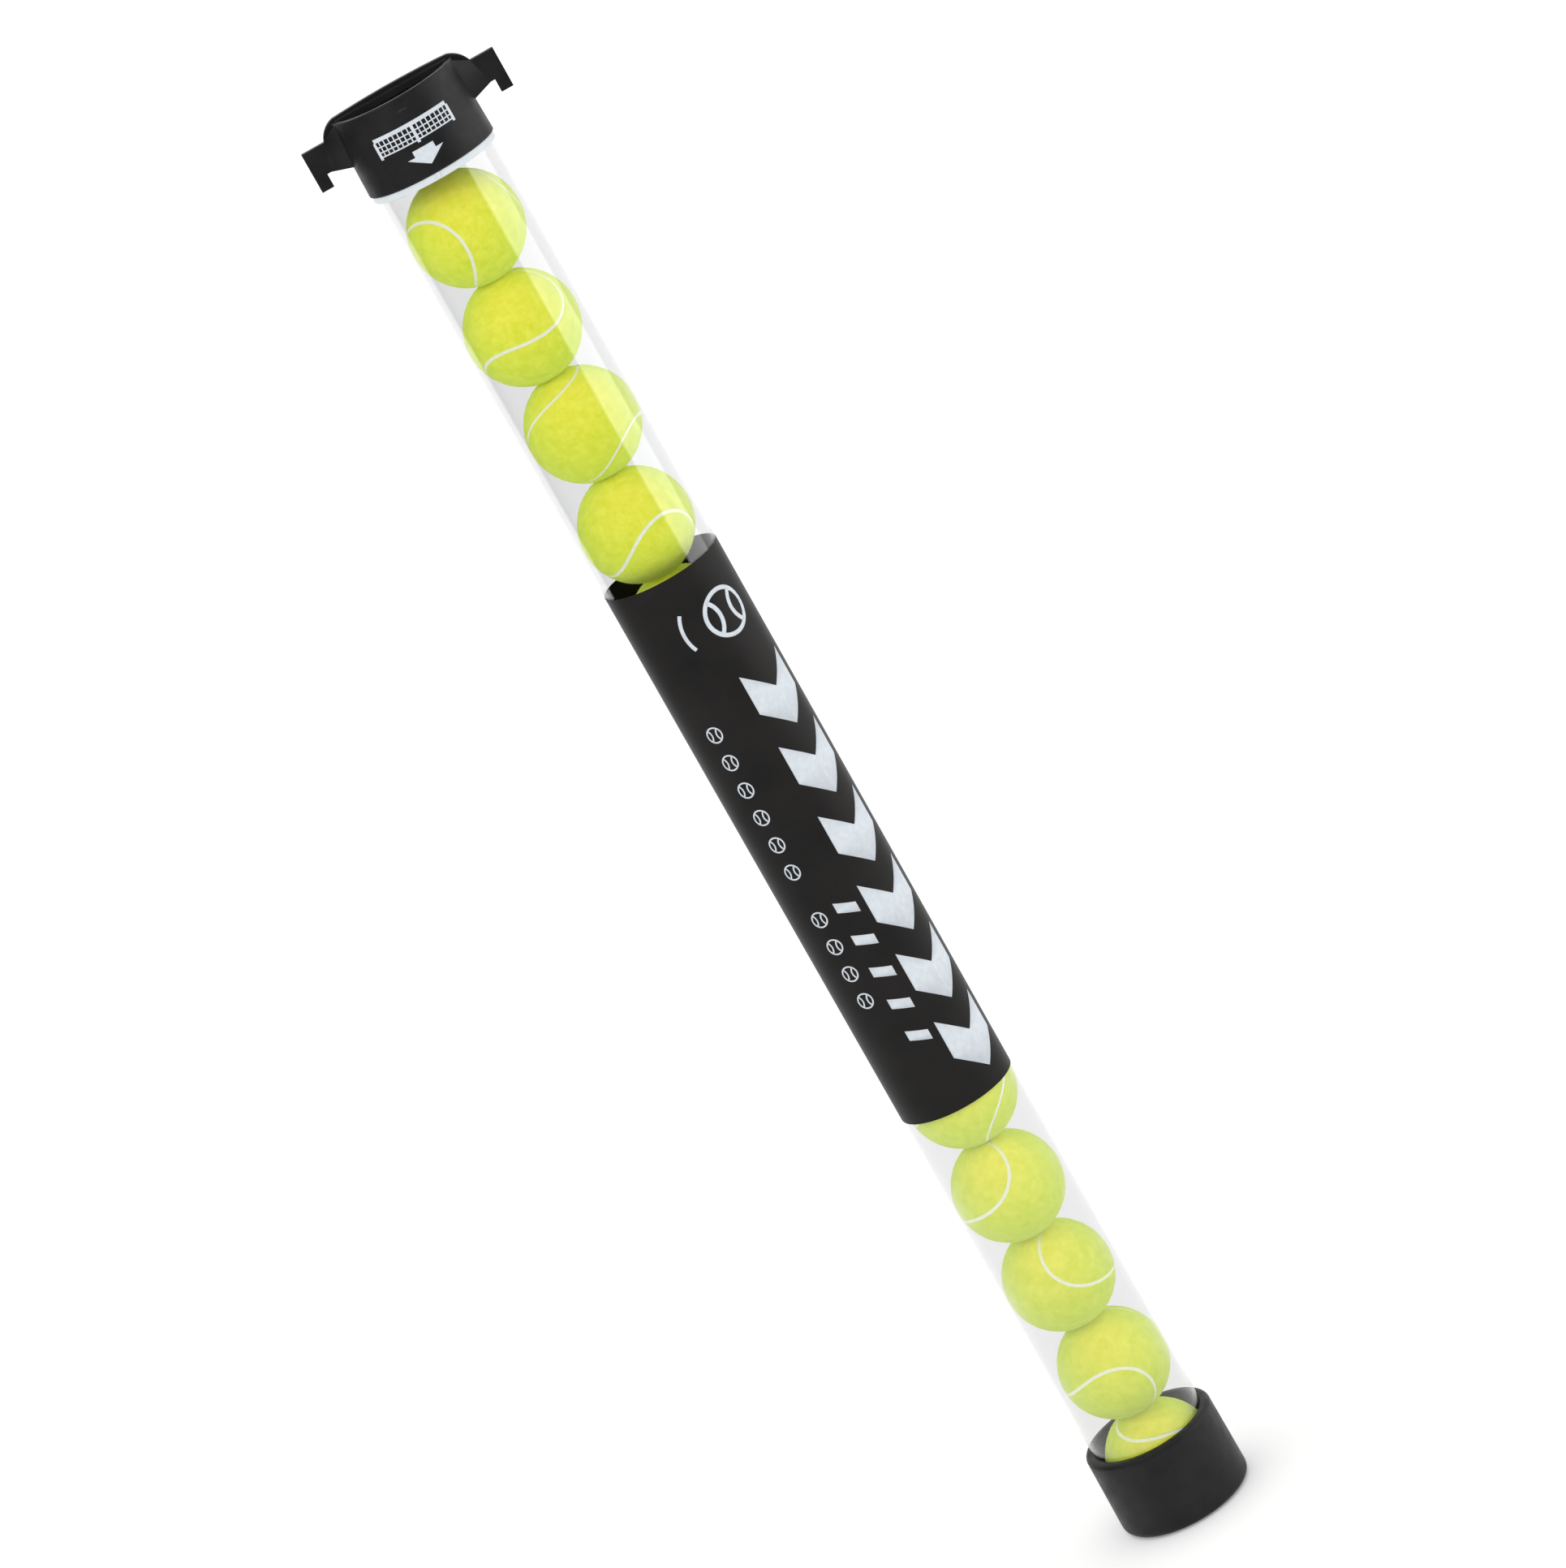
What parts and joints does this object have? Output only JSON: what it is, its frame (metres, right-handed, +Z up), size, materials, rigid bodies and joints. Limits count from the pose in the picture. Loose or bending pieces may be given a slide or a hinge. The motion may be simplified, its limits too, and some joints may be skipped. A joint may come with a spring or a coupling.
{
  "type": "tennis ball pick-up tube",
  "caption": "Clear pick-up and storage tube full of tennis balls, with a foot collar that balls push in through and a hooked pull-off cap that gauges net height.",
  "frame": {"origin": "centre of the foot collar's lower face, on the ground", "axes": "+Z up the tube, X through the two hooks, -Y the side with the printing"},
  "size_m": [0.1216, 0.0834, 0.9685],
  "materials": {
    "clear_tube": "clear, glossy",
    "label_film": "printed black film, satin",
    "white_plastic": "moulded, satin",
    "black_plastic": "moulded, satin",
    "retainer_plastic": "moulded, satin",
    "ball_rubber": "moulded",
    "ball_felt": "woven felt, brushed",
    "ball_seam": "matte"
  },
  "bodies": {
    "tube": {"clear_tube": "clear_tube", "label_sleeve": "label_film", "net_height_ring": "white_plastic", "intake_collar": "black_plastic", "retainer_ring": "retainer_plastic"},
    "cap": {"top_cap": "black_plastic"},
    "tongue_1": {"retainer_tongue_1": "retainer_plastic"},
    "tongue_2": {"retainer_tongue_2": "retainer_plastic"},
    "tongue_3": {"retainer_tongue_3": "retainer_plastic"},
    "tongue_4": {"retainer_tongue_4": "retainer_plastic"},
    "tongue_5": {"retainer_tongue_5": "retainer_plastic"},
    "tongue_6": {"retainer_tongue_6": "retainer_plastic"},
    "ball_01": {"ball_01_core": "ball_rubber", "ball_01_felt": "ball_felt", "ball_01_seam": "ball_seam"},
    "ball_02": {"ball_02_core": "ball_rubber", "ball_02_felt": "ball_felt", "ball_02_seam": "ball_seam"},
    "ball_03": {"ball_03_core": "ball_rubber", "ball_03_felt": "ball_felt", "ball_03_seam": "ball_seam"},
    "ball_04": {"ball_04_core": "ball_rubber", "ball_04_felt": "ball_felt", "ball_04_seam": "ball_seam"},
    "ball_05": {"ball_05_core": "ball_rubber", "ball_05_felt": "ball_felt", "ball_05_seam": "ball_seam"},
    "ball_06": {"ball_06_core": "ball_rubber", "ball_06_felt": "ball_felt", "ball_06_seam": "ball_seam"},
    "ball_07": {"ball_07_core": "ball_rubber", "ball_07_felt": "ball_felt", "ball_07_seam": "ball_seam"},
    "ball_08": {"ball_08_core": "ball_rubber", "ball_08_felt": "ball_felt", "ball_08_seam": "ball_seam"},
    "ball_09": {"ball_09_core": "ball_rubber", "ball_09_felt": "ball_felt", "ball_09_seam": "ball_seam"},
    "ball_10": {"ball_10_core": "ball_rubber", "ball_10_felt": "ball_felt", "ball_10_seam": "ball_seam"},
    "ball_11": {"ball_11_core": "ball_rubber", "ball_11_felt": "ball_felt", "ball_11_seam": "ball_seam"},
    "ball_12": {"ball_12_core": "ball_rubber", "ball_12_felt": "ball_felt", "ball_12_seam": "ball_seam"},
    "ball_13": {"ball_13_core": "ball_rubber", "ball_13_felt": "ball_felt", "ball_13_seam": "ball_seam"},
    "ball_14": {"ball_14_core": "ball_rubber", "ball_14_felt": "ball_felt", "ball_14_seam": "ball_seam"}
  },
  "joints": [
    {"name": "cap_lift", "type": "slide", "parent": "tube", "child": "cap", "axis": [0, 0, 1], "range_m": [0, 0.06]},
    {"name": "tongue_1_flex", "type": "hinge", "parent": "tube", "child": "tongue_1", "pos_m": [0.02906, 0.01678, 0.01012], "axis": [-0.5, 0.866, 0], "range_deg": [0, 10]},
    {"name": "tongue_2_flex", "type": "hinge", "parent": "tube", "child": "tongue_2", "pos_m": [0, 0.03355, 0.01012], "axis": [-1, 0, 0], "range_deg": [0, 10]},
    {"name": "tongue_3_flex", "type": "hinge", "parent": "tube", "child": "tongue_3", "pos_m": [-0.02906, 0.01678, 0.01012], "axis": [-0.5, -0.866, 0], "range_deg": [0, 10]},
    {"name": "tongue_4_flex", "type": "hinge", "parent": "tube", "child": "tongue_4", "pos_m": [-0.02906, -0.01678, 0.01012], "axis": [0.5, -0.866, 0], "range_deg": [0, 10]},
    {"name": "tongue_5_flex", "type": "hinge", "parent": "tube", "child": "tongue_5", "pos_m": [0, -0.03355, 0.01012], "axis": [1, 0, 0], "range_deg": [0, 10]},
    {"name": "tongue_6_flex", "type": "hinge", "parent": "tube", "child": "tongue_6", "pos_m": [0.02906, -0.01678, 0.01012], "axis": [0.5, 0.866, 0], "range_deg": [0, 10]},
    {"name": "ball_01_rise", "type": "slide", "parent": "tube", "child": "ball_01", "axis": [0, 0, 1], "range_m": [0, 0.03]},
    {"name": "ball_02_rise", "type": "slide", "parent": "tube", "child": "ball_02", "axis": [0, 0, 1], "range_m": [0, 0.03]},
    {"name": "ball_03_rise", "type": "slide", "parent": "tube", "child": "ball_03", "axis": [0, 0, 1], "range_m": [0, 0.03]},
    {"name": "ball_04_rise", "type": "slide", "parent": "tube", "child": "ball_04", "axis": [0, 0, 1], "range_m": [0, 0.03]},
    {"name": "ball_05_rise", "type": "slide", "parent": "tube", "child": "ball_05", "axis": [0, 0, 1], "range_m": [0, 0.03]},
    {"name": "ball_06_rise", "type": "slide", "parent": "tube", "child": "ball_06", "axis": [0, 0, 1], "range_m": [0, 0.03]},
    {"name": "ball_07_rise", "type": "slide", "parent": "tube", "child": "ball_07", "axis": [0, 0, 1], "range_m": [0, 0.03]},
    {"name": "ball_08_rise", "type": "slide", "parent": "tube", "child": "ball_08", "axis": [0, 0, 1], "range_m": [0, 0.03]},
    {"name": "ball_09_rise", "type": "slide", "parent": "tube", "child": "ball_09", "axis": [0, 0, 1], "range_m": [0, 0.03]},
    {"name": "ball_10_rise", "type": "slide", "parent": "tube", "child": "ball_10", "axis": [0, 0, 1], "range_m": [0, 0.03]},
    {"name": "ball_11_rise", "type": "slide", "parent": "tube", "child": "ball_11", "axis": [0, 0, 1], "range_m": [0, 0.03]},
    {"name": "ball_12_rise", "type": "slide", "parent": "tube", "child": "ball_12", "axis": [0, 0, 1], "range_m": [0, 0.03]},
    {"name": "ball_13_rise", "type": "slide", "parent": "tube", "child": "ball_13", "axis": [0, 0, 1], "range_m": [0, 0.03]},
    {"name": "ball_14_rise", "type": "slide", "parent": "tube", "child": "ball_14", "axis": [0, 0, 1], "range_m": [0, 0.03]}
  ],
  "couplings": [
    {"joint": "tongue_2_flex", "follows": "tongue_1_flex", "ratio": 1},
    {"joint": "tongue_3_flex", "follows": "tongue_1_flex", "ratio": 1},
    {"joint": "tongue_4_flex", "follows": "tongue_1_flex", "ratio": 1},
    {"joint": "tongue_5_flex", "follows": "tongue_1_flex", "ratio": 1},
    {"joint": "tongue_6_flex", "follows": "tongue_1_flex", "ratio": 1},
    {"joint": "ball_02_rise", "follows": "ball_01_rise", "ratio": 1},
    {"joint": "ball_03_rise", "follows": "ball_01_rise", "ratio": 1},
    {"joint": "ball_04_rise", "follows": "ball_01_rise", "ratio": 1},
    {"joint": "ball_05_rise", "follows": "ball_01_rise", "ratio": 1},
    {"joint": "ball_06_rise", "follows": "ball_01_rise", "ratio": 1},
    {"joint": "ball_07_rise", "follows": "ball_01_rise", "ratio": 1},
    {"joint": "ball_08_rise", "follows": "ball_01_rise", "ratio": 1},
    {"joint": "ball_09_rise", "follows": "ball_01_rise", "ratio": 1},
    {"joint": "ball_10_rise", "follows": "ball_01_rise", "ratio": 1},
    {"joint": "ball_11_rise", "follows": "ball_01_rise", "ratio": 1},
    {"joint": "ball_12_rise", "follows": "ball_01_rise", "ratio": 1},
    {"joint": "ball_13_rise", "follows": "ball_01_rise", "ratio": 1},
    {"joint": "ball_14_rise", "follows": "ball_01_rise", "ratio": 1}
  ]
}
